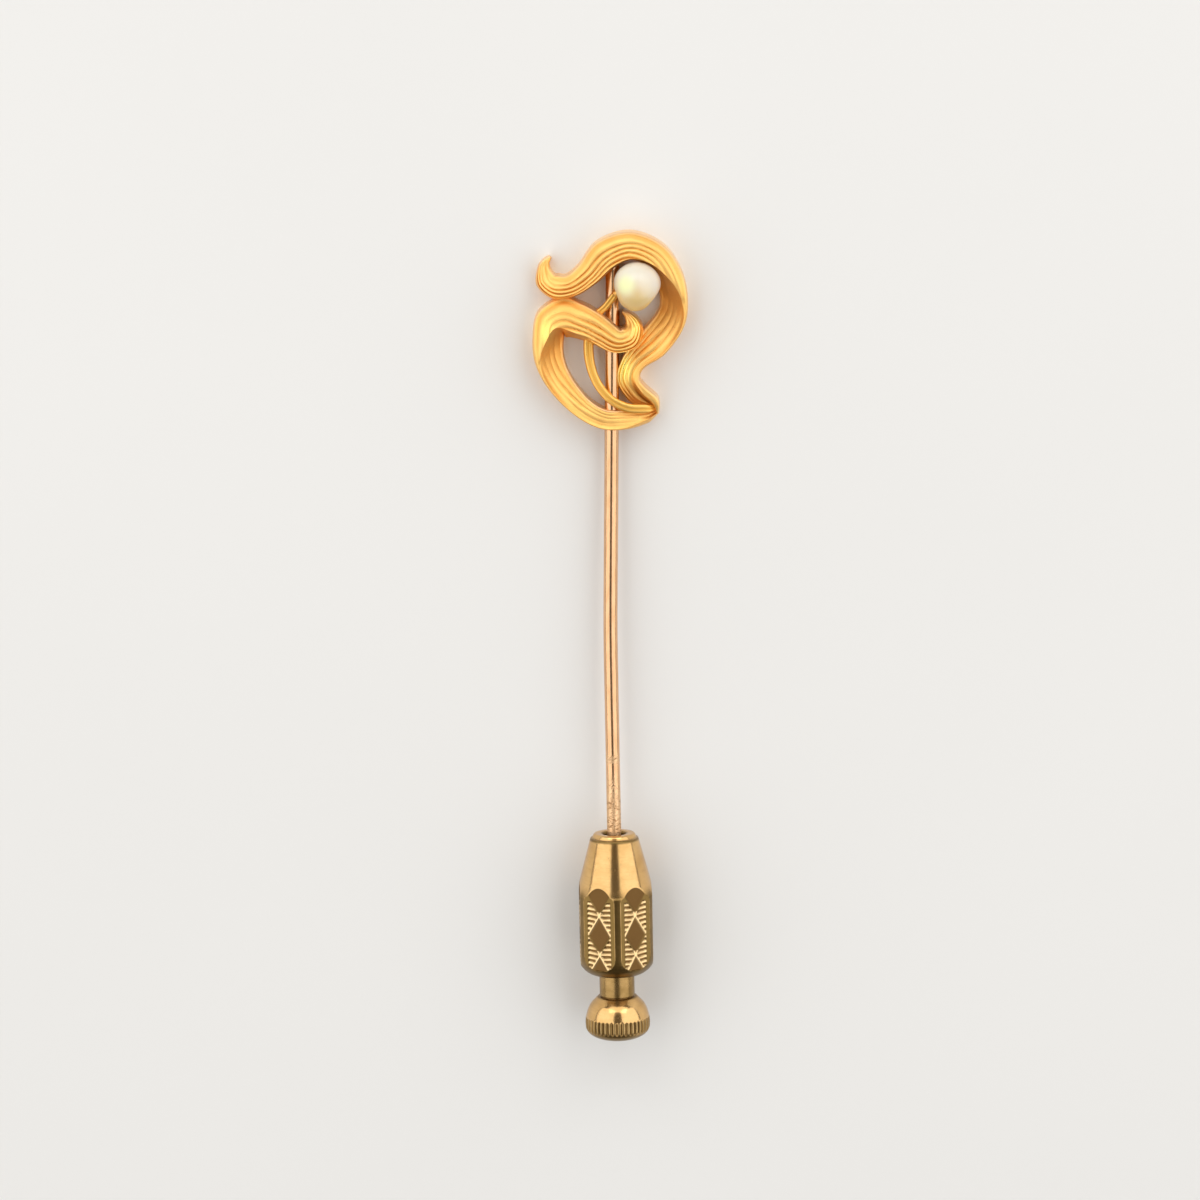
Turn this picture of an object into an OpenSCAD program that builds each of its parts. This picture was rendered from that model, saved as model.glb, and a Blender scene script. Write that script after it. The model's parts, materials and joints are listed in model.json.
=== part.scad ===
// Stick pin: two fluted scrolls and a tendril with a pearl on a long round stem,
// whose point is covered by a turned clutch with six engraved flats and a pull knob.
// It lies on its flat back: +Z up, the head towards +Y, the surface at Z = 0. Millimetres.

/* [Head] */
// Width of the scrolled head
head_w = 10.75; // [9.5:0.05:12]
// Height of the scrolled head, along the stem
head_h = 13.85; // [12.5:0.05:15.5]
// Depth of the scrolls, from their flat back to the highest crest
head_t = 2.6; // [2.4:0.1:3]
// Ridges across each scroll
ridges = 5; // [4:1:6]
// Height of a ridge above the grooves beside it
ridge_h = 0.18; // [0.1:0.02:0.26]
// How much wider the outer ridges are than the inner ones, as a power of the way across
ridge_lean = 1.6; // [1:0.1:1.8]
// How far the stem is to the right of the head's middle
head_shift = 0.2; // [0:0.05:0.4]
// Thickness of the tendril
tendril_d = 0.66; // [0.55:0.01:0.75]

/* [Pearl] */
// Diameter of the pearl where it is roundest
pearl_d = 3.4; // [3:0.05:3.5]
// Diameter of the peg that the pearl is drilled for
peg_d = 0.5; // [0.4:0.05:0.55]

/* [Stem] */
// Diameter of the round stem
stem_d = 1; // [0.9:0.05:1.1]
// How far the stem runs up behind the head, from the head's middle
stem_up = 4.7; // [4:0.1:5]
// From the head's middle to the start of the slight bend
bend_at = 18.9; // [16:0.1:22]
// Length of the slight bend
bend_l = 4.6; // [3:0.1:6]
// Angle of the slight bend
bend_a = 1.45; // [0.5:0.05:2.5]
// Straight stem in sight between the bend and the clutch
straight_l = 12.1; // [11:0.1:16]
// Tapered point inside the clutch
point_l = 9.8; // [8:0.1:10]
// Height of the stem's back above the surface at its upper end
stem_lift = 0.05; // [0.05:0.01:0.1]

/* [Clutch] */
// Diameter of the barrel over its ridges
barrel_d = 5.66; // [5.2:0.02:6]
// Across two opposite flats
flats_d = 5.12; // [4.8:0.02:5.2]
// Length of the barrel
barrel_l = 10.2; // [9.5:0.1:11]
// Share of the barrel's length that is cone
cone_share = 0.43; // [0.38:0.01:0.46]
// Diameter of the barrel's shoulder under its rolled rim
shoulder_d = 3.46; // [3.2:0.02:3.7]
// Height of the rolled rim at its mouth
rim_h = 0.42; // [0.36:0.02:0.5]
// Depth of the engraved lozenges on the flats
engrave_h = 0.06; // [0.04:0.01:0.08]
// Distance between the middles of two lozenges
lozenge_pitch = 2.84; // [2.7:0.02:3]
// Width of a lozenge
lozenge_w = 1.65; // [1.2:0.05:1.7]
// How far the clutch is turned on the stem
clutch_turn = 2.5; // [0:0.5:4]

/* [Knob] */
// Diameter of the knob
knob_d = 4.6; // [4.2:0.05:5]
// Height of the knob
knob_h = 3.2; // [2.8:0.05:3.6]
// Diameter of the neck
neck_d = 2.5; // [2.4:0.05:2.6]
// Neck in sight between barrel and knob
neck_show = 1.65; // [1.4:0.05:2]
// Ribs round the knob
ribs = 42; // [30:1:48]

/* [Clearances] */
// Gap all round the stem in the clutch and between the pearl and the metal
gap = 0.3; // [0.25:0.01:0.35]
// Running gap of the neck in the barrel, on the radius
run_gap = 0.05; // [0.03:0.01:0.08]
// Gap of the peg in the pearl, on the radius
peg_gap = 0.05; // [0.03:0.01:0.08]

/* [Hidden] */
stem_r = stem_d / 2;
barrel_r = barrel_d / 2;
flat_r = flats_d / 2;
bore_r = stem_r + gap;
neck_r = neck_d / 2;
knob_r = knob_d / 2;
pearl_r = pearl_d / 2;

// where the bend ends, and the mouth of the clutch, with the stem's upper axis along Y
bend_r = bend_l / (bend_a * PI / 180);
bend_end = [bend_r * (1 - cos(bend_a)), -bend_at - bend_r * sin(bend_a)];
mouth = bend_end + straight_l * [sin(bend_a), -cos(bend_a)];
knob_end = barrel_l + neck_show + knob_h;
// one stretch of the stem ends a little inside the next, and is a hair slimmer there
lap_l = stem_r;
lap_r = 0.98 * stem_r;
lap_a = lap_l / bend_r * 180 / PI;
below_head = head_h / 2 + gap;
tip_r = 0.1 * stem_r;

// the barrel's widest ring and the head's flat back lie on one surface
cone_l = barrel_l * cone_share;
rest_l = stem_up - mouth[1] + cone_l * cos(bend_a);
top_z = stem_r + stem_lift;
pitch = atan(barrel_r / rest_l) - asin(top_z / norm([rest_l, barrel_r]));
stem_z = top_z + stem_up * sin(pitch);
mid_y = (head_h / 2 + (mouth[1] - knob_end * cos(bend_a)) * cos(pitch)) / 2;

// columns: x, y of the scroll's middle in hundredths of head_w and head_h; its width in hundredths of head_w;
// the crest's place across it, as a share from the outer edge; height of outer edge, crest and inner foot,
// as shares of head_t
upper_scroll = [
    [-38.5,  36.5,  2.2, 0.9,  0.40, 0.42, 0.38],
    [-41.0,  34.2,  5.2, 0.9,  0.41, 0.48, 0.40],
    [-42.4,  31.0,  8.4, 0.9,  0.42, 0.54, 0.42],
    [-41.0,  25.1, 13.9, 0.9,  0.46, 0.66, 0.48],
    [-34.4,  21.8, 16.0, 0.9,  0.52, 0.76, 0.55],
    [-24.6,  22.7, 15.0, 0.9,  0.57, 0.82, 0.58],
    [-14.4,  28.4, 16.8, 0.9,  0.62, 0.86, 0.60],
    [ -3.0,  38.0, 20.3, 0.9,  0.68, 0.92, 0.58],
    [ 12.6,  42.6, 18.8, 0.9,  0.74, 0.96, 0.50],
    [ 28.5,  38.2, 17.8, 0.8,  0.80, 1.00, 0.40],
    [ 38.0,  27.3, 18.5, 0.52, 0.84, 1.00, 0.28],
    [ 41.4,  15.5, 17.8, 0.22, 0.86, 0.96, 0.24],
    [ 38.8,   5.4, 19.5, 0.1,  0.80, 0.88, 0.32],
    [ 28.0,  -6.0, 20.8, 0.1,  0.70, 0.78, 0.48],
    [ 16.4, -14.8, 15.8, 0.15, 0.62, 0.72, 0.55],
    [ 12.5, -24.0, 15.3, 0.22, 0.62, 0.72, 0.48],
    [ 18.6, -31.8, 15.2, 0.3,  0.68, 0.76, 0.36],
    [ 28.4, -36.8, 11.0, 0.42, 0.68, 0.74, 0.32],
    [ 31.4, -41.6,  2.8, 0.5,  0.54, 0.58, 0.40]
];
lower_scroll = [
    [  8.4,   9.6,  1.4, 0.9,  0.50, 0.50, 0.50],
    [ 11.8,   7.8,  5.3, 0.9,  0.60, 0.62, 0.60],
    [ 14.7,   4.6,  9.6, 0.9,  0.68, 0.74, 0.68],
    [ 15.4,   1.1, 13.0, 0.9,  0.76, 0.86, 0.72],
    [ 12.8,  -3.0, 15.8, 0.92, 0.82, 0.94, 0.72],
    [  4.8,  -4.6, 16.6, 0.92, 0.84, 0.98, 0.64],
    [ -5.6,  -0.2, 19.6, 0.88, 0.80, 0.98, 0.52],
    [-12.6,   2.6, 21.8, 0.82, 0.74, 0.98, 0.42],
    [-21.2,   5.1, 24.2, 0.77, 0.64, 1.00, 0.32],
    [-29.4,   6.6, 26.8, 0.73, 0.56, 1.00, 0.28],
    [-37.2,   4.0, 22.8, 0.66, 0.60, 1.00, 0.28],
    [-39.2,  -3.0, 20.4, 0.48, 0.73, 1.00, 0.28],
    [-38.4, -14.4, 19.0, 0.18, 0.80, 0.94, 0.36],
    [-31.4, -26.3, 16.5, 0.1,  0.76, 0.86, 0.50],
    [-18.0, -38.0, 14.0, 0.1,  0.70, 0.78, 0.62],
    [ -3.8, -44.2, 13.1, 0.1,  0.68, 0.76, 0.68],
    [ 10.2, -44.6, 13.2, 0.14, 0.58, 0.74, 0.60],
    [ 24.0, -43.6,  9.4, 0.36, 0.28, 0.64, 0.48],
    [ 28.0, -42.5,  5.6, 0.42, 0.30, 0.60, 0.46],
    [ 31.0, -41.2,  3.2, 0.45, 0.30, 0.54, 0.42]
];

// columns: x, y in hundredths of head_w and head_h, height as a share of head_t, thickness as a share of tendril_d
tendril_path = [
    [ -2.6,  12.6, 0.70, 0.84],
    [ -8.0,   8.2, 0.55, 0.93],
    [-12.2,   1.0, 0.45, 1.02],
    [-13.4,  -9.0, 0.45, 1.1],
    [-11.6, -18.6, 0.52, 1.06],
    [ -6.8, -27.2, 0.60, 0.97],
    [  1.2, -34.4, 0.66, 0.9],
    [ 12.4, -39.0, 0.66, 0.77],
    [ 24.0, -39.8, 0.60, 0.62],
    [ 29.2, -38.8, 0.50, 0.4]
];

// columns: radius as a share of knob_r, height as a share of knob_h
knob_curve = [
    [0.6, 0], [0.7, 0.07], [0.82, 0.16], [0.9, 0.26], [0.95, 0.36], [0.985, 0.46], [1, 0.55],
    [1, 0.64], [0.98, 0.73], [0.9, 0.82], [0.73, 0.9], [0.46, 0.96], [0.2, 0.99], [0, 1]
];

// a smooth curve through the rows of a table, n steps from each row to the next
function cr(a, b, c, d, s) =
    (2 * b + (c - a) * s + (2 * a - 5 * b + 4 * c - d) * s * s + (3 * b - a - 3 * c + d) * s * s * s) / 2;
function row(v, i) =
    i < 0 ? 2 * v[0] - v[1] : i > len(v) - 1 ? 2 * v[len(v) - 1] - v[len(v) - 2] : v[i];
function smooth(v, n) = [
    for (i = [0 : len(v) - 2]) for (k = [0 : n - 1]) cr(row(v, i - 1), v[i], v[i + 1], row(v, i + 2), k / n),
    v[len(v) - 1]
];
function unit(v) = v / norm(v);

// the edges of a scroll in plan, square to the line through its middles; side 1 is left of the way it runs
function middle(t, i) = let (r = row(t, i)) [r[0] * head_w, r[1] * head_h] / 100;
function across(t, i) = let (d = unit(middle(t, i + 1) - middle(t, i - 1))) [-d[1], d[0]];
function edge(t, side) =
    [for (i = [0 : len(t) - 1]) middle(t, i) + across(t, i) * side * t[i][2] * head_w / 200];

// height of the scroll's front at share u of the way across, ridges included
function front(r, u) =
    let (c = r[3], s = u < c ? u / c : (u - c) / (1 - c), w = min(1, r[2] / 16))
    head_t * (u < c ? r[4] + (r[5] - r[4]) * s + 0.05 * w * sin(180 * s) : r[6] + (r[5] - r[6]) * pow(1 - s, 1.5))
    + ridge_h * w * (abs(sin(180 * ridges * pow(u, ridge_lean))) - 0.7);

steps_along = 3;
steps_across = 3 * ridges;

// a closed ribbon: flat back, two side walls and the ridged front
module scroll(t, side) {
    outer = smooth(edge(t, side), steps_along);
    inner = smooth(edge(t, -side), steps_along);
    rows = smooth(t, steps_along);
    n = len(rows);
    m = steps_across + 3;
    points = [
        for (j = [0 : n - 1]) each [
            [outer[j][0], outer[j][1], 0],
            for (k = [0 : steps_across])
                let (u = pow(k / steps_across, 1 / ridge_lean), p = outer[j] + (inner[j] - outer[j]) * u)
                    [p[0], p[1], front(rows[j], u)],
            [inner[j][0], inner[j][1], 0]
        ]
    ];
    faces = [
        for (j = [0 : n - 2]) for (k = [0 : m - 1])
            let (a = j * m + k, b = j * m + (k + 1) % m, c = a + m, d = b + m)
            each side > 0 ? [[a, c, b], [b, c, d]] : [[a, b, c], [b, d, c]],
        for (k = [1 : m - 2])
            let (e = (n - 1) * m)
            each side > 0 ? [[0, k, k + 1], [e, e + k + 1, e + k]] : [[0, k + 1, k], [e, e + k, e + k + 1]]
    ];
    polyhedron(points, faces, convexity = 8);
}

// the pearl's middle, half a gap clear of the stem that passes under its left side
pearl_x = 0.174 * head_w;
pearl_y = 0.229 * head_h;
stem_to_pearl = pearl_r + stem_r + gap / 2;
pearl_rise = sqrt(max(gap * gap, pow(stem_to_pearl, 2) - pow(pearl_x - head_shift, 2)));
pearl_at = [pearl_x, pearl_y, stem_z - pearl_y * tan(pitch) + pearl_rise];
// the side that it is drilled from, where it is a little flat
drill_a = 200;
// columns: direction in plan, depth of the flattened side as a share of the radius
pearl_flats = [[drill_a, 0.1], [324, 0.17]];
drill_side = [cos(drill_a), sin(drill_a), 0];
pearl_seat = pearl_r * (1 - pearl_flats[0][1]);
tendril_end = pearl_at + drill_side * (pearl_seat + gap / 4);

// a round tube through the tendril's points
module tendril() {
    first = [tendril_end[0], tendril_end[1], tendril_end[2], tendril_path[0][3] * tendril_d];
    rest = [for (r = tendril_path) [r[0] * head_w / 100, r[1] * head_h / 100, r[2] * head_t, r[3] * tendril_d]];
    path = smooth(concat([first], rest), 3);
    n = len(path);
    sides = 8;
    points = [
        for (j = [0 : n - 1])
            let (
                here = [path[j][0], path[j][1], path[j][2]],
                a = path[max(j - 1, 0)],
                b = path[min(j + 1, n - 1)],
                t = j == 0 ? -drill_side : unit([b[0] - a[0], b[1] - a[1], b[2] - a[2]]),
                along = j == 0 ? drill_side : t,
                x = unit(cross(along, [0, 0, 1])),
                y = cross(x, along)
            )
            for (k = [0 : sides - 1]) here + path[j][3] / 2 * (x * cos(360 * k / sides) + y * sin(360 * k / sides))
    ];
    faces = [
        for (j = [0 : n - 2]) for (k = [0 : sides - 1])
            let (a = j * sides + k, b = j * sides + (k + 1) % sides, c = a + sides, d = b + sides)
            each [[a, b, c], [b, d, c]],
        for (k = [1 : sides - 2])
            let (e = (n - 1) * sides)
            each [[0, k + 1, k], [e, e + k, e + k + 1]]
    ];
    polyhedron(points, faces, convexity = 6);
}

// from the stem's frame, its upper axis along Y, to where it lies at rest
module at_rest() translate([head_shift, 0, stem_z]) rotate([-pitch, 0, 0]) children();
// from the clutch's frame, its mouth at 0 and the knob towards +Z, to the stem's frame
module at_mouth() translate([mouth[0], mouth[1], 0]) rotate([0, 0, bend_a]) rotate([90, 0, 0]) children();
module placed() translate([0, -mid_y, 0]) children();

// the stretch of the stem that is let into the scrolls, a little inside the round wire below the head
module stem_in_head() {
    at_rest() translate([0, -below_head - lap_l, 0]) rotate([-90, 0, 0])
        cylinder(h = stem_up + below_head + lap_l, r = lap_r, $fn = 32);
}

// round wire below the head: straight, slightly bent, straight, and the tapered point
module stem() {
    at_rest() {
        translate([0, -bend_at, 0]) rotate([-90, 0, 0]) cylinder(h = bend_at - below_head, r = stem_r, $fn = 48);
        translate([bend_r, -bend_at, 0]) rotate([0, 0, 180 - lap_a])
            rotate_extrude(angle = bend_a + 2 * lap_a, $fn = 720) translate([bend_r, 0])
                circle(r = lap_r, $fn = 48);
        at_mouth() {
            translate([0, 0, -straight_l]) cylinder(h = straight_l, r = stem_r, $fn = 48);
            cylinder(h = point_l, r1 = stem_r, r2 = tip_r, $fn = 48);
        }
    }
}

module peg() {
    translate(pearl_at + drill_side * pearl_seat * 0.35) rotate([0, 0, drill_a]) rotate([0, 90, 0])
        cylinder(h = pearl_seat * 0.65 + gap / 2, r = peg_d / 2, $fn = 32);
}

module scroll_pin() {
    color([0.85, 0.62, 0.3]) placed() {
        resize([head_w, 0, 0]) {
            scroll(upper_scroll, 1);
            scroll(lower_scroll, -1);
            tendril();
            peg();
            stem_in_head();
        }
        stem();
    }
}

// a ball with two softly flattened sides, drilled for the peg
module pearl() {
    around = 24;
    up = 14;
    // the radius in direction d
    function reach(d) = pearl_r * (1 - pearl_flats[0][1] * pow(max(0, d * drill_side), 6)
        - pearl_flats[1][1] * pow(max(0, d * [cos(pearl_flats[1][0]), sin(pearl_flats[1][0]), 0]), 6));
    function way(i, k) = [sin(180 * i / up) * cos(360 * k / around), sin(180 * i / up) * sin(360 * k / around),
        cos(180 * i / up)];
    points = [
        [0, 0, pearl_r],
        for (i = [1 : up - 1]) for (k = [0 : around - 1]) way(i, k) * reach(way(i, k)),
        [0, 0, -pearl_r]
    ];
    last = len(points) - 1;
    faces = [
        for (k = [0 : around - 1]) each [
            [0, 1 + (k + 1) % around, 1 + k],
            [last, last - around + k, last - around + (k + 1) % around]
        ],
        for (i = [0 : up - 3]) for (k = [0 : around - 1])
            let (a = 1 + i * around + k, b = 1 + i * around + (k + 1) % around)
            each [[a, b, a + around], [b, b + around, a + around]]
    ];
    color([0.93, 0.92, 0.88]) placed() difference() {
        translate(pearl_at) polyhedron(points, faces, convexity = 2);
        translate(pearl_at + drill_side * pearl_seat * 0.25) rotate([0, 0, drill_a]) rotate([0, 90, 0])
            cylinder(h = pearl_r, r = peg_d / 2 + peg_gap, $fn = 32);
    }
}

// the barrel's inner step, above the end of the plunger
step_z = barrel_l * 0.4;
shoulder_r = shoulder_d / 2;
bottom_z = barrel_l * 0.84;
// how far an edge of the barrel is rounded
soft = barrel_d / 50;
bottom_r = neck_r + run_gap + soft;
// columns: distance out from the bore and from the shoulder's edge, height above the mouth, in shares of rim_h
rim_in = [[0, 0.5], [0.2, 0.1], [0.5, 0]];
rim_out = [[-1, 0], [-0.62, 0.14], [-0.48, 0.48], [-0.38, 0.7], [-0.14, 0.76], [0, 1]];

module barrel_body() {
    rotate_extrude($fn = 96) polygon([
        for (r = rim_in) [bore_r + r[0] * rim_h, r[1] * rim_h],
        for (r = rim_out) [shoulder_r + r[0] * rim_h, r[1] * rim_h],
        [barrel_r - soft, cone_l - 2.2 * soft], [barrel_r - 0.2 * soft, cone_l - 0.7 * soft], [barrel_r, cone_l + soft],
        [barrel_r, bottom_z],
        for (a = [20 : 20 : 80])
            [bottom_r + (barrel_r - bottom_r) * cos(a), bottom_z + (barrel_l - bottom_z) * sin(a)],
        [bottom_r, barrel_l], [neck_r + run_gap, barrel_l], [neck_r + run_gap, step_z], [bore_r, step_z]
    ]);
}

// three lozenges in a row down a flat, the first one half lost where the flat starts
module lozenges() {
    lozenge_l = 0.9 * lozenge_pitch;
    first_z = 0.4 * barrel_l;
    for (k = [0 : 2])
        translate([flat_r - engrave_h, 0, first_z + lozenge_pitch * k]) rotate([0, 90, 0])
            linear_extrude(barrel_r)
                polygon([[-lozenge_l / 2, 0], [0, -lozenge_w / 2], [lozenge_l / 2, 0], [0, lozenge_w / 2]]);
}

module clutch_barrel() {
    color([0.72, 0.58, 0.3]) placed() at_rest() at_mouth() rotate([0, 0, -clutch_turn]) difference() {
        barrel_body();
        for (k = [0 : 5]) rotate([0, 0, 60 * k]) {
            translate([flat_r, -barrel_r, 0]) cube([barrel_r, barrel_d, barrel_l]);
            lozenges();
        }
    }
}

module clutch_plunger() {
    foot = barrel_l + neck_show;
    rib_r = 0.8 * knob_r / ribs * 2;
    color([0.78, 0.64, 0.36]) placed() at_rest() at_mouth() difference() {
        union() {
            translate([0, 0, step_z + gap]) cylinder(h = foot - step_z, r = neck_r, $fn = 64);
            translate([0, 0, foot]) rotate_extrude($fn = 96)
                polygon(concat([[0, 0]], [for (r = knob_curve) [r[0] * knob_r, r[1] * knob_h]]));
        }
        translate([0, 0, step_z]) cylinder(h = point_l - step_z + stem_d, r = bore_r, $fn = 48);
        for (k = [0 : ribs - 1])
            rotate([0, 0, 360 * k / ribs]) translate([knob_r + rib_r / 2, 0, foot + knob_h * 0.46])
                cylinder(h = knob_h * 0.3, r = rib_r, $fn = 16);
    }
}

scroll_pin();
pearl();
clutch_barrel();
clutch_plunger();
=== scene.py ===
"""A stick pin on its back: fluted scrolls, a tendril and a pearl on a long stem with an engraved clutch.

Each piece is a grid of points worked out with numpy, in metres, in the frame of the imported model.
"""
import json

import bpy
import numpy as np
from mathutils import Matrix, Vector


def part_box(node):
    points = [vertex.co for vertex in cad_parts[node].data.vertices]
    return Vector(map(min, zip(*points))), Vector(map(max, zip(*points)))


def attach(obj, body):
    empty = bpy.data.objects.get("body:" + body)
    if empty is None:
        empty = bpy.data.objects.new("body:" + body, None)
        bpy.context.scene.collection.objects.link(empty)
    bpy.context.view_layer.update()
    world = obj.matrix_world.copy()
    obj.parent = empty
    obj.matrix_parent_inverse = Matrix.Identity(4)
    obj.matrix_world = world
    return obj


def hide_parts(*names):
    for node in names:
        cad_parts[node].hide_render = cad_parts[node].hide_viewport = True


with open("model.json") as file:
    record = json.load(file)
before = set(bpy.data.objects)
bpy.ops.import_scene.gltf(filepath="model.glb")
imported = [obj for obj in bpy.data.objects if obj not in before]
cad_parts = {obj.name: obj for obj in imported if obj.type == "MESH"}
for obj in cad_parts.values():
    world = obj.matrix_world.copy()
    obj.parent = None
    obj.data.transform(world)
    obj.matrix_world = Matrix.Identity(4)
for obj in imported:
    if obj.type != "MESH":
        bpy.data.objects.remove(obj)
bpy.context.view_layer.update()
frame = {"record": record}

MM = 0.001

# How finely the scrolls are divided: steps between two rows of a table, columns from the outer edge to the
# crest and from there to the inner edge, and points up each wall
SCROLL_STEPS = 14
COLUMNS_UP = 61
COLUMNS_DOWN = 55
WALL_POINTS = 4

# The same driving sizes as the solids
HEAD_W = 10.75 * MM
HEAD_H = 13.85 * MM
HEAD_T = 2.6 * MM
RIDGES = 5
RIDGE_H = 0.18 * MM
RIDGE_LEAN = 1.6
TENDRIL_D = 0.66 * MM
PEARL_D = 3.4 * MM
PEARL_X = 0.174 * HEAD_W
PEARL_Y = 0.229 * HEAD_H
PEG_D = 0.5 * MM
STEM_D = 1.0 * MM
STEM_UP = 4.7 * MM
BEND_AT = 18.9 * MM
BEND_L = 4.6 * MM
STRAIGHT_L = 12.1 * MM
POINT_L = 9.8 * MM
BARREL_D = 5.66 * MM
FLATS_D = 5.12 * MM
BARREL_L = 10.2 * MM
CONE_L = 0.43 * BARREL_L
SHOULDER_D = 3.46 * MM
RIM_H = 0.42 * MM
LOZENGE_PITCH = 2.84 * MM
LOZENGE_W = 1.65 * MM
CLUTCH_TURN = np.radians(2.5)
KNOB_D = 4.6 * MM
KNOB_H = 3.2 * MM
NECK_D = 2.5 * MM
NECK_SHOW = 1.65 * MM
KNOB_RIBS = 42
GAP = 0.3 * MM
RUN_GAP = 0.05 * MM

# Columns: x and y of the scroll's middle in hundredths of the head's width and height; width in hundredths
# of the head's width; the crest's place across it; heights of outer edge, crest and inner foot as shares of
# the depth; how strong the ridges are
UPPER_SCROLL = [
    [-38.5, 36.5,  2.2, 0.9,  0.40, 0.42, 0.38, 0.4],
    [-41.0, 34.2,  5.2, 0.9,  0.41, 0.48, 0.40, 0.6],
    [-42.4, 31.0,  8.4, 0.9,  0.42, 0.54, 0.42, 0.7],
    [-41.0, 25.1, 13.9, 0.9,  0.46, 0.66, 0.48, 0.8],
    [-34.4, 21.8, 16.0, 0.9,  0.52, 0.76, 0.55, 0.9],
    [-24.6, 22.7, 15.0, 0.9,  0.57, 0.82, 0.58, 1.0],
    [-14.4, 28.4, 16.8, 0.9,  0.62, 0.86, 0.60, 1.0],
    [ -3.0, 38.0, 20.3, 0.9,  0.68, 0.92, 0.58, 1.0],
    [ 12.6, 42.6, 18.8, 0.9,  0.74, 0.96, 0.50, 1.0],
    [ 28.5, 38.2, 17.8, 0.8,  0.80, 1.00, 0.40, 0.8],
    [ 38.0, 27.3, 18.5, 0.52, 0.84, 1.00, 0.28, 0.4],
    [ 41.4, 15.5, 17.8, 0.22, 0.86, 0.96, 0.24, 0.15],
    [ 38.8,  5.4, 19.5, 0.1,  0.80, 0.88, 0.32, 0.4],
    [ 28.0, -6.0, 20.8, 0.1,  0.70, 0.78, 0.48, 0.8],
    [ 16.4, -14.8, 15.8, 0.15, 0.62, 0.72, 0.55, 0.9],
    [ 12.5, -24.0, 15.3, 0.22, 0.62, 0.72, 0.48, 0.8],
    [ 18.6, -31.8, 15.2, 0.3,  0.68, 0.76, 0.36, 0.4],
    [ 28.4, -36.8, 11.0, 0.42, 0.68, 0.74, 0.32, 0.2],
    [ 31.4, -41.6,  2.8, 0.5,  0.54, 0.58, 0.40, 0.1],
]
LOWER_SCROLL = [
    [  8.4,  9.6,  1.4, 0.9,  0.50, 0.50, 0.50, 0.4],
    [ 11.8,  7.8,  5.3, 0.9,  0.60, 0.62, 0.60, 0.6],
    [ 14.7,  4.6,  9.6, 0.9,  0.68, 0.74, 0.68, 0.8],
    [ 15.4,  1.1, 13.0, 0.9,  0.76, 0.86, 0.72, 0.9],
    [ 12.8, -3.0, 15.8, 0.92, 0.82, 0.94, 0.72, 1.0],
    [  4.8, -4.6, 16.6, 0.92, 0.84, 0.98, 0.64, 1.0],
    [ -5.6, -0.2, 19.6, 0.88, 0.80, 0.98, 0.52, 1.0],
    [-12.6,  2.6, 21.8, 0.82, 0.74, 0.98, 0.42, 1.0],
    [-21.2,  5.1, 24.2, 0.77, 0.64, 1.00, 0.32, 1.0],
    [-29.4,  6.6, 26.8, 0.73, 0.56, 1.00, 0.28, 0.8],
    [-37.2,  4.0, 22.8, 0.66, 0.60, 1.00, 0.28, 0.5],
    [-39.2, -3.0, 20.4, 0.48, 0.73, 1.00, 0.28, 0.3],
    [-38.4, -14.4, 19.0, 0.18, 0.80, 0.94, 0.36, 0.3],
    [-31.4, -26.3, 16.5, 0.1,  0.76, 0.86, 0.50, 0.45],
    [-18.0, -38.0, 14.0, 0.1,  0.70, 0.78, 0.62, 0.5],
    [ -3.8, -44.2, 13.1, 0.1,  0.68, 0.76, 0.68, 0.4],
    [ 10.2, -44.6, 13.2, 0.14, 0.58, 0.74, 0.60, 0.3],
    [ 24.0, -43.6,  9.4, 0.36, 0.28, 0.64, 0.48, 0.2],
    [ 28.0, -42.5,  5.6, 0.42, 0.30, 0.60, 0.46, 0.2],
    [ 31.0, -41.2,  3.2, 0.45, 0.30, 0.54, 0.42, 0.1],
]

# Columns: x and y in hundredths of the head's width and height, height as a share of the depth, width and
# thickness as shares of the tendril's
TENDRIL = [
    [ -2.6,  12.6, 0.70, 0.78, 0.9],
    [ -8.0,   8.2, 0.55, 0.85, 1.0],
    [-12.2,   1.0, 0.45, 1.0,  1.05],
    [-13.4,  -9.0, 0.45, 1.1,  1.1],
    [-11.6, -18.6, 0.52, 1.02, 1.1],
    [ -6.8, -27.2, 0.60, 0.95, 1.0],
    [  1.2, -34.2, 0.66, 0.95, 0.95],
    [ 12.4, -38.4, 0.66, 1.0,  0.85],
    [ 24.0, -38.8, 0.60, 0.95, 0.7],
    [ 29.2, -38.6, 0.50, 0.6,  0.5],
]

# Columns: radius as a share of the knob's, height as a share of its height
KNOB_CURVE = [
    [0.6, 0], [0.7, 0.07], [0.82, 0.16], [0.9, 0.26], [0.95, 0.36], [0.985, 0.46], [1, 0.55],
    [1, 0.64], [0.98, 0.73], [0.9, 0.82], [0.73, 0.9], [0.46, 0.96], [0.2, 0.99], [0.01, 1],
]

# The clutch's mouth and axis come from the stem's mount, and the rest of the stem and the head from them
mount = frame["record"]["mounts"][0]
axis = np.array(mount["axis"])
mouth = np.array(mount["pos_m"]) + axis * STRAIGHT_L / 2
pitch = np.arctan2(axis[2], -axis[1])
bend_a = np.arcsin(axis[0])
bend_r = BEND_L / bend_a
bend_end = np.array([bend_r * (1 - np.cos(bend_a)), -BEND_AT - bend_r * np.sin(bend_a), 0])
in_stem = bend_end + STRAIGHT_L * np.array([np.sin(bend_a), -np.cos(bend_a), 0])
lay = np.array([[1, 0, 0], [0, np.cos(pitch), -np.sin(pitch)], [0, np.sin(pitch), np.cos(pitch)]])
head_at = mouth - in_stem @ lay
head_y = head_at[1]


def unit(v):
    """v divided by its length, along the last axis"""
    return v / np.linalg.norm(v, axis=-1, keepdims=True)


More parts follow.
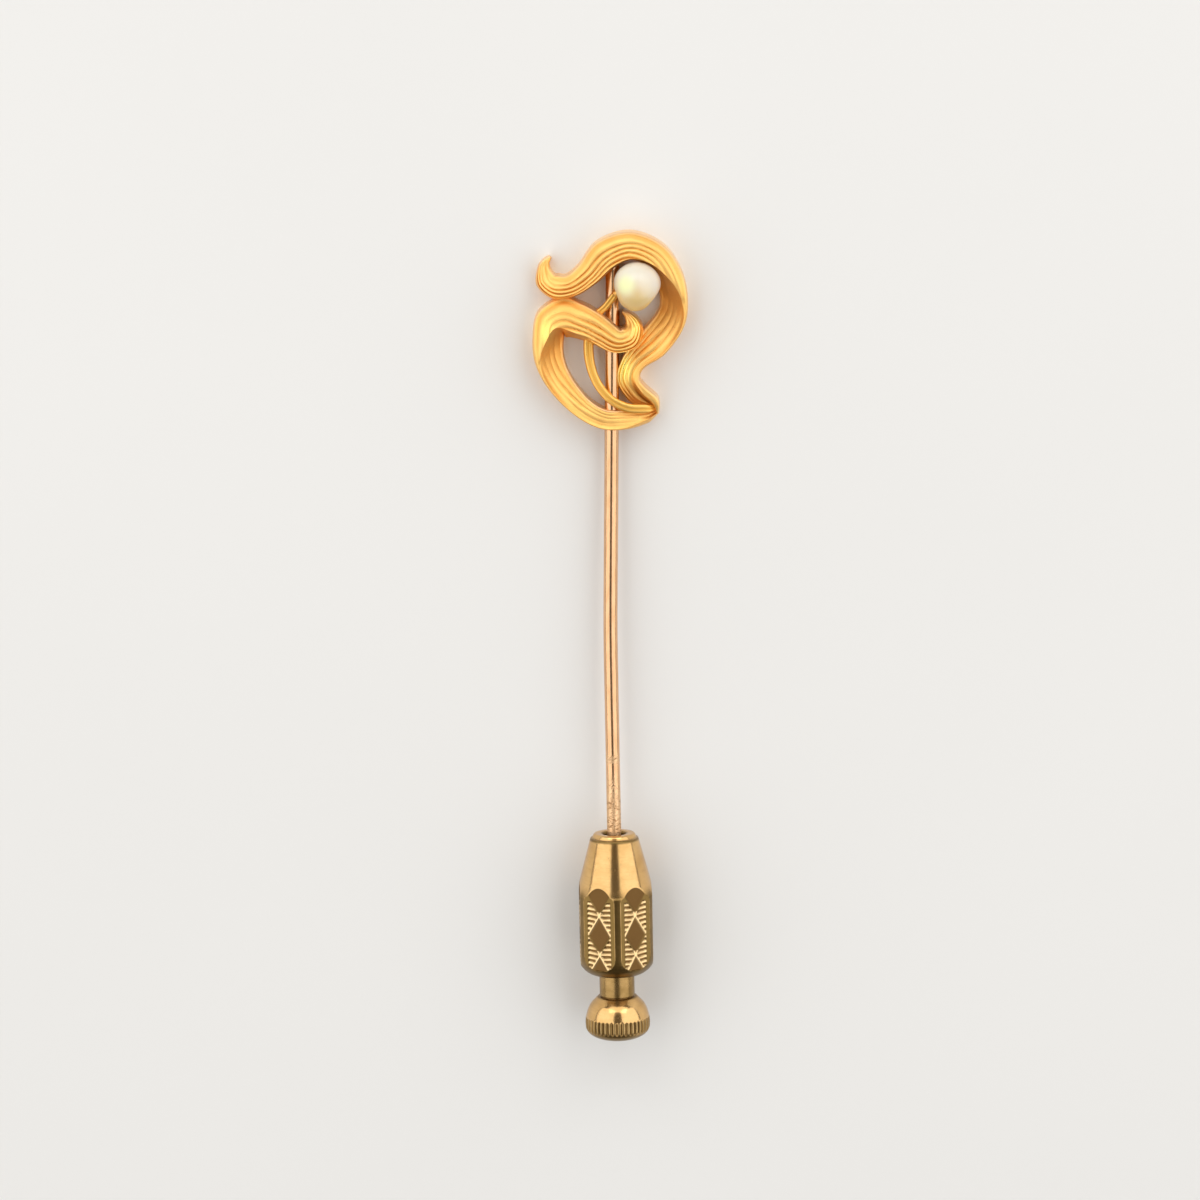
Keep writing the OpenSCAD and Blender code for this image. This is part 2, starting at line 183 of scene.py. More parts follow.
def smooth(rows, steps):
    """Catmull-Rom: the cubic between two rows whose slope at each is half the chord of its neighbours."""
    rows = np.asarray(rows, float)
    p = np.vstack([2 * rows[0] - rows[1], rows, 2 * rows[-1] - rows[-2]])
    s = np.arange(steps)[None, :, None] / steps
    a, b, c, d = (p[i:len(p) - 3 + i, None] for i in range(4))
    curve = (2 * b + (c - a) * s + (2 * a - 5 * b + 4 * c - d) * s**2 + (3 * b - a - 3 * c + d) * s**3) / 2
    return np.vstack([curve.reshape(-1, rows.shape[1]), rows[-1:]])


def bump(x, at, wide):
    """A bell of height 1 round a place: e to the minus half the square of the distance over the width"""
    return np.exp(-0.5 * ((x - at) / wide) ** 2)


def skin(name, grid, finish, body, node, marks=None, ring=False):
    """Joins a grid of points, rows by columns, into one closed skin that faces outwards.

    The columns run round. The rows end in fans, or with ring=True run round too. marks are numbers at each
    point.
    """
    n, m = grid.shape[:2]
    j, k = np.meshgrid(np.arange(n if ring else n - 1), np.arange(m), indexing="ij")
    a = j * m + k
    b = j * m + (k + 1) % m
    c = (j + 1) % n * m + (k + 1) % m
    d = (j + 1) % n * m + k
    quads = np.stack([a, b, c, d], -1).reshape(-1, 4)
    points = grid.reshape(-1, 3)
    fans = np.zeros((0, 3), int)
    if not ring:
        points = np.vstack([points, grid[0].mean(0), grid[-1].mean(0)])
        here = np.arange(m)
        after = (here + 1) % m
        last = (n - 1) * m
        first_fan = np.stack([after, here, np.full(m, n * m)], -1)
        last_fan = np.stack([last + here, last + after, np.full(m, n * m + 1)], -1)
        fans = np.vstack([first_fan, last_fan])
    corners = np.vstack([quads[:, [0, 1, 2]], quads[:, [0, 2, 3]], fans])
    p, q, r = (points[corners[:, i]] for i in range(3))
    if np.einsum("ij,ij->i", p, np.cross(q, r)).sum() < 0:
        quads = quads[:, ::-1]
        fans = fans[:, ::-1]
    mesh = bpy.data.meshes.new(name)
    mesh.from_pydata(points, [], quads.tolist() + fans.tolist())
    for mark, values in (marks or {}).items():
        values = np.broadcast_to(values, (n, m))
        ends = [] if ring else [values[0].mean(), values[-1].mean()]
        layer = mesh.attributes.new(mark, "FLOAT", "POINT")
        layer.data.foreach_set("value", np.concatenate([values.ravel(), ends]).astype(np.float32))
    mesh.shade_smooth()
    mesh.set_sharp_from_angle(angle=np.radians(50))
    mesh.materials.append(finish)
    piece = bpy.data.objects.new(name, mesh)
    bpy.context.scene.collection.objects.link(piece)
    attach(piece, body)
    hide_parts(node)
    return piece


class Wire:
    """An output of a shader node. Python's operators on it add Math nodes."""

    def __init__(self, finish, socket):
        self.finish = finish
        self.socket = socket

    def join(self, how, *others):
        return self.finish.node("ShaderNodeMath", {"operation": how}, dict(enumerate([self, *others])))

    def __add__(self, other):
        return self.join("ADD", other)

    def __sub__(self, other):
        return self.join("SUBTRACT", other)

    def __mul__(self, other):
        return self.join("MULTIPLY", other)

    def __rsub__(self, other):
        return self.finish.node("ShaderNodeMath", {"operation": "SUBTRACT"}, {0: other, 1: self})

    __radd__ = __add__

    def between(self, low, high):
        """0 below low, 1 above high, and a smooth step between them"""
        inputs = {"Value": self, "From Min": low, "From Max": high}
        return self.finish.node("ShaderNodeMapRange", {"interpolation_type": "SMOOTHSTEP"}, inputs)


# Places of a Mix node's colour sockets, which share their names with its other kinds of socket
MIX_FACTOR = 0
MIX_FIRST = 6
MIX_SECOND = 7
MIX_COLOUR = 2


class Finish:
    """One material, with a Principled shader whose steady values are set on its own sockets."""

    def __init__(self, name, **steady):
        self.material = bpy.data.materials.new(name)
        self.material.use_nodes = True
        self.tree = self.material.node_tree
        self.shader = self.tree.nodes["Principled BSDF"]
        for socket, value in steady.items():
            self.shader.inputs[socket.replace("_", " ")].default_value = value

    def node(self, kind, settings=None, inputs=None, out=0):
        """Adds a node: first its settings, then the values or links of its sockets."""
        made = self.tree.nodes.new(kind)
        for key, value in (settings or {}).items():
            setattr(made, key, value)
        for key, value in (inputs or {}).items():
            if isinstance(value, Wire):
                self.tree.links.new(value.socket, made.inputs[key])
            else:
                made.inputs[key].default_value = value
        return Wire(self, made.outputs[out])

    def feed(self, socket, wire):
        self.tree.links.new(wire.socket, self.shader.inputs[socket])

    def place(self, size=(1, 1, 1), turn=0):
        """Object coordinates whose pattern is turned about Z and is size times as large"""
        here = self.node("ShaderNodeTexCoord", out="Object")
        inputs = {"Vector": here, "Scale": size, "Rotation": (0, 0, turn)}
        return self.node("ShaderNodeMapping", {"vector_type": "TEXTURE"}, inputs)

    def noise(self, per_mm, where=None, detail=2.0, rough=0.5):
        """Noise from about 0 to 1, with per_mm lumps to a millimetre"""
        where = where or self.place()
        inputs = {"Vector": where, "Scale": per_mm / MM, "Detail": detail, "Roughness": rough}
        return self.node("ShaderNodeTexNoise", {}, inputs)

    def mark(self, name):
        return self.node("ShaderNodeAttribute", {"attribute_name": name}, out="Fac")

    def mix(self, share, colour, other):
        """The first colour where share is 0 and the other where it is 1"""
        first, second = (c if isinstance(c, Wire) else (*c, 1) for c in (colour, other))
        inputs = {MIX_FACTOR: share, MIX_FIRST: first, MIX_SECOND: second}
        return self.node("ShaderNodeMix", {"data_type": "RGBA"}, inputs, out=MIX_COLOUR)

    def relief(self, height, depth_mm, strength=1.0):
        """Bends the normal by a height from 0 to 1 that stands for depth_mm."""
        inputs = {"Height": height, "Distance": depth_mm * MM, "Strength": strength}
        self.feed("Normal", self.node("ShaderNodeBump", {}, inputs))


def satin_gold():
    """Cast gold with a satin bloom: a painted pale highlight on lit edges, painted deep orange shade in
    grooves, walls and hollows, and a painted yellow glint where it is worn smooth.
    """
    finish = Finish("satin_gold", Metallic=1.0)
    groove = finish.mark("groove")
    worn_glint = finish.mark("worn_glint")
    wall_shade = finish.mark("wall_shade")
    rim = finish.mark("rim")
    grain = finish.noise(16, detail=4, rough=0.7)
    cloud = finish.noise(0.6, detail=2).between(0.32, 0.68)
    pits = finish.noise(9, detail=2, rough=0.4).between(0.66, 0.76)
    colour = finish.mix(cloud, (0.96, 0.56, 0.17), (1.0, 0.63, 0.20))
    # painted shade: deep orange where the groove mark lies, for the shade in the grooves
    colour = finish.mix(groove, colour, (0.64, 0.25, 0.02))
    # painted shade: deeper orange on walls that face away from the lights, on steep slopes and in the hollow
    colour = finish.mix(wall_shade * 0.85, colour, (0.92, 0.45, 0.10))
    # painted highlight: pale pink on walls and edges that face up the pin, towards the lights
    colour = finish.mix(rim, colour, (1.0, 0.74, 0.48))
    # painted glint: yellow where the gold is worn smooth, which is also less rough there
    colour = finish.mix(worn_glint, colour, (1.0, 0.78, 0.20))
    colour = finish.mix(pits * 0.4, colour, (0.45, 0.22, 0.06))
    # painted shade: dark brown in the hollow at the lower right
    colour = finish.mix(finish.mark("hollow") * 0.85, colour, (0.26, 0.13, 0.03))
    finish.feed("Base Color", colour)
    finish.feed("Roughness", 0.37 + grain * 0.2 + groove * 0.14 - worn_glint * 0.24)
    finish.relief(grain * 0.6 + cloud * 0.5 + pits * -0.3, 0.016, 0.9)
    return finish.material


def wire_gold():
    """Drawn rosy gold, polished, with fine slanting scratches where the clutch grips it."""
    finish = Finish("wire_gold", Metallic=1.0)
    gripped = finish.mark("gripped")
    fine = finish.noise(6, finish.place((1, 8, 1)), detail=2)
    cuts = finish.noise(9, finish.place((4, 0.9, 4), 0.6), detail=3).between(0.50, 0.66)
    other_cuts = finish.noise(10, finish.place((4, 0.9, 4), -0.45), detail=3).between(0.52, 0.68)
    scratches = (cuts + other_cuts) * gripped
    colour = finish.mix(fine.between(0.35, 0.75), (0.78, 0.47, 0.26), (0.68, 0.39, 0.20))
    colour = finish.mix(gripped * 0.5, colour, (0.92, 0.66, 0.38))
    colour = finish.mix(scratches.between(0.1, 1.2) * 0.75, colour, (0.34, 0.16, 0.06))
    finish.feed("Base Color", colour)
    finish.feed("Roughness", 0.15 + fine * 0.08 + gripped * 0.16 + scratches * 0.1)
    finish.relief(1 - scratches, 0.02, 0.9)
    return finish.material


def turned_gold():
    """Turned gilt brass: a brown bloom, turning marks, painted shade and dark reflections with some tarnish
    in low places, a dark engraved ground with painted shade between the ribs, and painted highlights.
    """
    finish = Finish("turned_gold", Metallic=1.0)
    ground = finish.mark("ground")
    painted_highlight = finish.mark("painted_highlight")
    shade_and_tarnish = finish.mark("shade_and_tarnish")
    bloom = finish.noise(0.8, detail=4, rough=0.6)
    specks = finish.noise(7, detail=3).between(0.62, 0.74)
    turning = finish.noise(2.0, finish.place((3, 0.17, 3)), detail=3)
    colour = finish.mix(bloom.between(0.35, 0.7), (0.76, 0.48, 0.20), (0.64, 0.38, 0.14))
    colour = finish.mix(turning.between(0.5, 0.75) * 0.35, colour, (0.55, 0.33, 0.13))
    # painted shade and painted dark reflections, with some tarnish: dark olive brown, also rougher
    colour = finish.mix((shade_and_tarnish * (bloom * 0.8 + 0.6)).between(0, 1), colour, (0.20, 0.125, 0.04))
    # dark engraved ground, with painted shade between the ribs
    colour = finish.mix(ground * 0.9, colour, (0.17, 0.09, 0.03))
    # painted highlight: pale gold on the rib tops and on the bars beside the lozenges
    colour = finish.mix(painted_highlight, colour, (0.98, 0.70, 0.36))
    colour = finish.mix(specks * 0.15, colour, (0.22, 0.13, 0.04))
    finish.feed("Base Color", colour)
    finish.feed("Roughness", 0.12 + bloom * 0.1 + specks * 0.12 + shade_and_tarnish * 0.16 + ground * 0.18)
    finish.relief(turning * 0.8 + bloom * 0.5 + specks * -0.15, 0.008, 0.7)
    return finish.material


def pearl_lustre():
    """A natural pearl: a pale painted highlight up on its left, cream and honey below, grey and rose to the
    right.
    """
    finish = Finish(
        "pearl_lustre",
        IOR=1.5,
        Subsurface_Weight=0.3,
        Subsurface_Scale=0.5 * MM,
        Subsurface_Radius=(1.0, 0.85, 0.6),
        Coat_Weight=0.5,
        Coat_Roughness=0.16,
        Coat_IOR=1.6,
    )
    low = finish.mark("low")
    right = finish.mark("right")
    painted_lustre = finish.mark("painted_lustre")
    cloud = finish.noise(0.7, detail=3, rough=0.6)
    waver = (cloud - 0.5) * 0.5
    colour = finish.mix((low + waver).between(0.05, 0.7), (0.78, 0.74, 0.61), (0.80, 0.59, 0.26))
    colour = finish.mix((right + waver).between(0.45, 0.95), colour, (0.76, 0.68, 0.56))
    # painted highlight: pale greenish yellow round one fixed direction up on the left
    colour = finish.mix((painted_lustre + waver * 0.4).between(0.1, 1.0), colour, (0.86, 0.88, 0.46))
    finish.feed("Base Color", colour)
    finish.feed("Roughness", 0.34 + cloud * 0.12)
    finish.relief(finish.noise(1.2, detail=2), 0.025, 0.5)
    return finish.material


def front(rows, u):
    """Height of a scroll's front at share u of the way across, and its marks.

    A line from the outer edge up to the crest, with a slight swell, then a hollow curve down to the inner
    foot. The ridges are the size of a sine, lifted to the power 0.7, so they are round with narrow grooves
    between them. They are weaker where the front is steep, and drift and fade along the scroll. A fine lip
    with a groove beside it follows the outer edge.
    """
    width, crest, z_outer, z_crest, z_inner, strong = rows[:, 2:8].T[..., None]
    rising = u < crest
    s = np.where(rising, u / crest, (u - crest) / (1 - crest))
    weight = np.minimum(1, width / 16)
    in_from_edge = u * width * HEAD_W / 100
    lip = bump(in_from_edge, 0.12 * MM, 0.08 * MM) - 0.7 * bump(in_from_edge, 0.33 * MM, 0.1 * MM)
    up = z_outer + (z_crest - z_outer) * s + 0.05 * weight * np.sin(np.pi * s)
    down = z_inner + (z_crest - z_inner) * (1 - s).clip(0) ** 1.5
    along = np.linspace(0, 1, len(rows))[:, None]
    drift = 0.025 * np.sin(9 * along + 5 * u) + 0.014 * np.sin(31 * along + 11 * u)
    ridge = np.abs(np.sin(np.pi * RIDGES * (u + drift).clip(0, 1) ** RIDGE_LEAN)) ** 0.7
    fine = np.abs(np.sin(np.pi * 14 * (u + 1.4 * drift)))
    outward = ((z_crest - z_outer) * 2.2 - 0.4).clip(0, 1) * (1 - s)
    steep = np.where(rising, outward, s * (z_crest - z_inner) / 0.7).clip(0, 1)
    fade = 0.72 + 0.28 * np.sin(23 * along + 8 * u) * np.sin(7 * along + 3)
    held = strong * weight * fade * (1 - 0.75 * steep) * (0.45 + 0.85 * u).clip(0, 1)
    height = HEAD_T * np.where(rising, up, down) + RIDGE_H * held * (ridge - 0.7 + 0.08 * (fine - 0.6))
    height = height + 0.05 * MM * lip * weight
    # The groove mark is painted shade in the grooves between the ridges and beside the lip.
    groove = held * ((1 - ridge).clip(0, 1) ** 1.2 + 0.15 * (1 - fine) ** 3)
    groove = groove + 0.25 * weight * bump(in_from_edge, 0.33 * MM, 0.06 * MM)
    return height, groove, steep


def scroll_edges(table, side):
    """The two edges in plan, each half the width from the line through the middles, and the rows."""
    table = np.array(table)
    middle = table[:, :2] / 100 * [HEAD_W, HEAD_H]
    ends = np.vstack([2 * middle[0] - middle[1], middle, 2 * middle[-1] - middle[-2]])
    run = unit(ends[2:] - ends[:-2])
    half = side * np.stack([-run[:, 1], run[:, 0]], -1) * table[:, 2:3] * HEAD_W / 200
    return [smooth(rows, SCROLL_STEPS) for rows in (middle + half, middle - half, table)]


def worn_glint_spots(x, y):
    """Where the gold is worn smooth and given a painted yellow glint, at shares x and y of the head"""
    left = 0.9 * bump(x, -0.405, 0.03) * bump(y, 0.0, 0.035)
    waist = 0.9 * bump(x, 0.095, 0.035) * bump(y, -0.19, 0.06)
    curl = 0.6 * bump(x, 0.17, 0.02) * bump(y, 0.05, 0.05)
    return (left + waist + curl).clip(0, 1)


def scroll(name, edges, stretch, finish):
    """A ribbon between its two edges, with a flat back, upright walls, soft edges and a fluted front.

    One column follows the crest, which keeps it crisp. A short hollow lies beside the crest at the lower
    right, with painted shade in it. The rim mark paints highlight on walls and edges that face up the pin,
    towards the lights, and the wall mark paints shade on the others and on steep slopes.
    """
    outer, inner, rows = edges
    crest = rows[:, 3:4]
    rising = crest * np.linspace(0, 1, COLUMNS_UP)
    falling = crest + (1 - crest) * np.linspace(0, 1, COLUMNS_DOWN + 1)[1:]
    u = np.hstack([rising, falling])
    height, groove, steep = front(rows, u)
    width = rows[:, 2:3] * HEAD_W / 100
    soft = np.minimum(0.14 * MM, width / 3)
    near = np.minimum(u, 1 - u) * width / soft
    height = height - soft * (1 - np.sqrt(1 - (1 - near).clip(0, 1) ** 2))
    flat = outer[:, None] + (inner - outer)[:, None] * u[..., None]
    x = flat[..., 0] / HEAD_W
    y = flat[..., 1] / HEAD_H
    # A hollow cut into the front at the lower right, where its mark paints shade
    hollow = bump(u, crest + 0.17, 0.09) * bump(y, -0.33, 0.05) * (x > 0)
    height = height - 0.34 * MM * hollow
    face = np.dstack([flat, height])
    share = np.array([0, 0.3, 0.6, 0.85])[None, :, None]
    outer_wall = np.dstack([np.repeat(outer[:, None], WALL_POINTS, 1), share * height[:, None, :1]])
    inner_wall = np.dstack([np.repeat(inner[:, None], WALL_POINTS, 1), share[:, ::-1] * height[:, None, -1:]])
    grid = np.hstack([outer_wall, face, inner_wall]) * [stretch, 1, 1] + [0, head_y, 0]
    pad = np.zeros((len(rows), WALL_POINTS))
    # Walls and edges that face up the pin, towards the lights, get painted highlight, and the others painted
    # shade
    upward = unit(outer - inner)[:, 1:]
    outer_lit = (0.5 + 1.5 * upward).clip(0, 1)
    inner_lit = (0.5 - 1.5 * upward).clip(0, 1)
    outer_edge_highlight = (1 - u * width / (0.2 * MM)).clip(0, 1) * outer_lit
    inner_edge_highlight = (1 - (1 - u) * width / (0.2 * MM)).clip(0, 1) * inner_lit
    marks = {
        "groove": np.hstack([pad, groove, pad]),
        "wall_shade": np.hstack([pad + 1 - outer_lit, np.maximum(steep, hollow), pad + 1 - inner_lit]),
        "rim": 0.8 * np.hstack([pad + outer_lit, outer_edge_highlight + inner_edge_highlight, pad + inner_lit]),
        "worn_glint": np.hstack([pad, worn_glint_spots(x, y), pad]),
        "hollow": np.hstack([pad, hollow**2, pad]),
    }
    return skin(name, grid, finish, "pin", "scroll_pin", marks)


def sweep(path, wide, thick, around, shape=None):
    """An oval of given half width and half thickness carried along a path, square to it and level across."""
    run = unit(np.gradient(path, axis=0))
    across = unit(np.cross(run, [0, 0, 1]))
    up = np.cross(across, run)
    turn = np.linspace(0, 2 * np.pi, around, endpoint=False)
    reach = np.ones(around) if shape is None else shape(turn)
    side = (np.cos(turn) * reach)[None, :, None] * wide[:, None, None] * across[:, None]
    rise = (np.sin(turn) * reach)[None, :, None] * thick[:, None, None] * up[:, None]
    return path[:, None] + side + rise


def pearl_place():
    """The pearl's middle: its top is at the top of the solid, and shares of the head give its x and y."""
    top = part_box("pearl")[1].z
    return np.array([PEARL_X, head_y + PEARL_Y, top - PEARL_D / 2])


# Direction in plan in which the pearl is drilled, from its middle
DRILL = np.radians(200)
# Direction in plan of each flattened side, and its depth as a share of the radius
PEARL_FLATS = [(DRILL, 0.1), (np.radians(324), 0.17)]


def pearl(finish):
    """A ball less two soft flats, each the sixth power of the way round to it, with a few low lumps."""
    up = np.linspace(0.02, np.pi - 0.02, 72)[:, None]
    turn = np.linspace(0, 2 * np.pi, 128, endpoint=False)[None, :]
    way = np.stack([np.sin(up) * np.cos(turn), np.sin(up) * np.sin(turn), np.cos(up) + 0 * turn], -1)
    reach = 1 - 0.006 * (1 + np.sin(3 * turn + 2 * np.cos(2 * up)) * np.sin(up) ** 2)
    for at, deep in PEARL_FLATS:
        reach = reach - deep * (way @ [np.cos(at), np.sin(at), 0]).clip(0) ** 6
    grid = pearl_place() + way * reach[..., None] * PEARL_D / 2
    # The direction round which the highlight is painted
    spot = way @ unit(np.array([-0.5, 0.15, 0.85]))
    marks = {
        "low": 0.5 - 0.5 * way @ unit(np.array([-0.1, 1, 0.25])),
        "right": 0.5 + 0.5 * way @ unit(np.array([0.9, 0.5, 0])),
        "painted_lustre": bump(np.arccos(spot.clip(-1, 1)), 0, 0.32),
    }
    return skin("pearl_ball", grid, finish, "pin", "pearl", marks)


def tendril_end():
    """Where the tendril meets the pearl's flat side"""
    out = np.array([np.cos(DRILL), np.sin(DRILL), 0])
    return pearl_place() + out * (PEARL_D / 2 * (1 - PEARL_FLATS[0][1]) + GAP / 4), out


def tendril(stretch, finish):
    """An oval wire with a groove along its front, ending in a point."""
    start, out = tendril_end()
    table = np.array(TENDRIL)
    path = table[:, :3] / [100, 100, 1] * [HEAD_W, HEAD_H, HEAD_T] * [stretch, 1, 1] + [0, head_y, 0]
    first = np.hstack([start, 0.78, 0.9])
    rows = smooth(np.vstack([first, np.hstack([path, table[:, 3:]])]), 16)
    half = TENDRIL_D / 2

    def grooved(turn):
        return 1 - 0.34 * bump(turn, np.pi / 2, 0.36)

    grid = sweep(rows[:, :3], rows[:, 3] * half, rows[:, 4] * half, 36, grooved)
    turn = np.linspace(0, 2 * np.pi, 36, endpoint=False)
    # Painted shade along the groove, and a little painted shade and painted glint over the whole tendril
    groove = np.tile(bump(turn, np.pi / 2, 0.4), (len(rows), 1))
    marks = {"groove": groove, "wall_shade": 0.15, "rim": 0, "worn_glint": 0.25}
    return skin("tendril", grid, finish, "pin", "scroll_pin", marks)


def peg(finish):
    """The short round rod from inside the pearl to inside the tendril"""
    start, out = tendril_end()
    path = start + out * np.linspace(-0.6, 0.075, 6)[:, None] * MM
    radius = np.full(6, PEG_D / 2)
    grid = sweep(path, radius, radius, 24)
    # A little painted groove shade over the whole peg
    return skin("peg", grid, finish, "pin", "scroll_pin", {"groove": 0.3})


def stem(finish):
    """Round wire: straight, an arc for the slight bend, straight to the clutch, and a tapered point."""
    up = np.linspace(STEM_UP, -BEND_AT, 60)
    high = np.stack([np.zeros(60), up, np.zeros(60)], -1)
    turn = np.linspace(0, bend_a, 16)[1:]
    arc = np.stack([bend_r * (1 - np.cos(turn)), -BEND_AT - bend_r * np.sin(turn), 0 * turn], -1)
    on = np.array([np.sin(bend_a), -np.cos(bend_a), 0])
    straight = np.linspace(0, STRAIGHT_L, 120)[1:]
    point = STRAIGHT_L + np.linspace(0, POINT_L, 30)[1:]
    length = np.concatenate([straight, point])
    low = bend_end + length[:, None] * on
    path = np.vstack([high, arc, low])
    radius = np.full(len(path), STEM_D / 2)
    radius[-len(point):] = np.linspace(STEM_D / 2, 0.05 * MM, len(point))
    radius[0] *= 0.8
    gripped = np.zeros(len(path))
    gripped[-len(length):] = np.interp(length / MM, [7.3, 9.5, 12.1, 15], [0, 0.7, 1, 0.25])
    gripped[-len(length):] += 0.9 * bump(length, 6.8 * MM, 0.2 * MM)
    grid = sweep(path, radius, radius, 48) @ lay + head_at
    marks = {"gripped": gripped[:, None]}
    return skin("stem_wire", grid, finish, "pin", "scroll_pin", marks)


def turned(profile, around):
    """Radius, angle and height of the points of a profile turned round the clutch's axis"""
    turn = np.linspace(0, 2 * np.pi, around, endpoint=False)[None, :]
    radius, height = (profile[:, i:i + 1] + 0 * turn for i in (0, 1))
    return radius, turn + 0 * radius, height


def in_clutch(radius, turn, height):
    """From radius, angle and height beyond the mouth to the frame, a little turned on the stem"""
    front_way = np.array([0, np.sin(pitch), np.cos(pitch)])
    right = np.cross(front_way, axis)
    turn = turn - CLUTCH_TURN
    return (
        mouth
        + (radius * np.cos(turn))[..., None] * right
        + (radius * np.sin(turn))[..., None] * front_way
        + height[..., None] * axis
    )


def densely(profile, step):
    """The profile with points added so that none are further apart than step"""
    profile = np.asarray(profile, float)
    gaps = np.linalg.norm(np.diff(profile, axis=0), axis=1)
    counts = np.maximum(1, np.ceil(gaps / step)).astype(int)
    at = np.concatenate([i + np.arange(n) / n for i, n in enumerate(counts)] + [[len(profile) - 1]])
    whole = np.arange(len(profile))
    return np.stack([np.interp(at, whole, profile[:, 0]), np.interp(at, whole, profile[:, 1])], -1)


def engraving(x, z):
    """Depth and marks of the engraving on a flat, x across it and z down from the first lozenge's middle.

    Lozenges are where the share across plus the share along is under 1. The corners between them hold
    ribs, a wave of z, and a bar follows each lozenge's upper edges. The bars and the rib tops get painted
    highlight, and the low parts between the ribs painted shade.
    """
    along = np.abs((z / LOZENGE_PITCH + 0.5) % 1 - 0.5) * 2
    upper = ((z / LOZENGE_PITCH + 0.5) % 1) < 0.5
    across = np.abs(x) / (LOZENGE_W / 2)
    place = across * 0.9 + along
    inside = 1 - ((place - 0.86) / 0.05).clip(0, 1)
    bar = bump(place, 1.0, 0.075) * (upper | (along > 0.8)) * (across < 1.1)
    ribbed = ((place - 1.0) / 0.06).clip(0, 1) * (1 - ((across - 1.05) / 0.05).clip(0, 1))
    wave = 0.5 + 0.5 * np.cos(2 * np.pi * z / (LOZENGE_PITCH / 8) + 1.6 * across)
    wave = wave.clip(0.1, 0.9) / 0.8 - 0.125
    reach = (z > 0.45 * MM) & (z < 5.2 * MM)
    ribbed = ribbed * reach
    bar = bar * (z > 0.8 * MM) * (z < 5.3 * MM)
    inside = inside * (z < 5.4 * MM)
    deep = 0.05 * MM * inside + 0.11 * MM * ribbed * (1 - wave) * (1 - bar)
    # The ground is the dark engraved floor of each lozenge, and painted shade between the ribs
    ground = np.maximum(inside, ribbed * (1 - wave) ** 2).clip(0, 1) * (1 - bar)
    painted_highlight = np.maximum(bar, ribbed * wave**0.7 * (0.5 + 0.5 * across).clip(0, 1)).clip(0, 1)
    return deep, ground, painted_highlight


def barrel_profile(bore):
    """Radius and height of the barrel's section: the rolled rim, the cone, the body, its end and the bores"""
    shoulder = SHOULDER_D / 2
    wide = BARREL_D / 2
    step = 0.4 * BARREL_L
    low = 0.84 * BARREL_L
    inner = NECK_D / 2 + RUN_GAP
    soft = BARREL_D / 50
    rim_in = np.array([[0, 0.5], [0.06, 0.25], [0.2, 0.08], [0.5, 0]]) * RIM_H + [bore, 0]
    rim_roll = [[-1, 0], [-0.75, 0.04], [-0.6, 0.18], [-0.5, 0.45], [-0.4, 0.68]]
    rim_groove = [[-0.25, 0.72], [-0.08, 0.8], [0, 1]]
    rim_out = np.array(rim_roll + rim_groove) * RIM_H + [shoulder, 0]
    turn_in = np.array([[-1, -2.2], [-0.2, -0.7], [0, 1]]) * soft + [wide, CONE_L]
    a = np.linspace(0, np.pi / 2, 12)[:, None]
    bottom = [inner + soft, low] + np.hstack([np.cos(a), np.sin(a)]) * [wide - inner - soft, BARREL_L - low]
    outside = densely(np.vstack([rim_out[-1:], turn_in, bottom]), 0.055 * MM)
    inside = [[inner, BARREL_L], [inner, step], [bore, step]]
    return np.vstack([rim_in, rim_out[:-1], outside, inside])


def barrel(finish):
    """A turned body with a rolled rim and a cone. Six flats cut it where its radius is more than theirs."""
    bore = STEM_D / 2 + GAP
    radius, turn, height = turned(barrel_profile(bore), 384)
    off = np.abs((turn + np.pi / 6) % (np.pi / 3) - np.pi / 6)
    cut = FLATS_D / 2 / np.cos(off)
    sharp = 0.02 * MM
    on_flat = ((radius - cut) / sharp + 0.5).clip(0, 1)
    x = cut * np.sin(off)
    deep, ground, painted_highlight = engraving(x, height - 0.4 * BARREL_L)
    radius = np.where(radius > cut, cut, radius) - deep * on_flat
    low_end = ((height / BARREL_L - 0.84) / 0.08).clip(0, 1)
    past_cone = ((height - 0.8 * CONE_L) / (0.2 * CONE_L)).clip(0, 1)
    between = past_cone * (1 - on_flat) * bump(off, np.pi / 6, 0.2)
    in_mouth = bump(radius, bore, 0.25 * RIM_H) + (radius < bore + 0.1 * RIM_H)
    rim_groove = bump(height, 0.9 * RIM_H, 0.2 * RIM_H)
    # Painted shade and dark reflections, with some tarnish, on the flats, the strips between them, the low
    # end, the mouth and the rim's groove
    shade_and_tarnish = np.maximum(on_flat, 0.9 * between)
    shade_and_tarnish = np.maximum(shade_and_tarnish, 0.95 * low_end)
    shade_and_tarnish = np.maximum(shade_and_tarnish, 0.9 * (in_mouth + rim_groove).clip(0, 1))
    marks = {"ground": ground * on_flat, "painted_highlight": painted_highlight * on_flat, "shade_and_tarnish": shade_and_tarnish}
    grid = in_clutch(radius, turn, height)
    return skin("engraved_barrel", grid, finish, "clutch", "clutch_barrel", marks, ring=True)


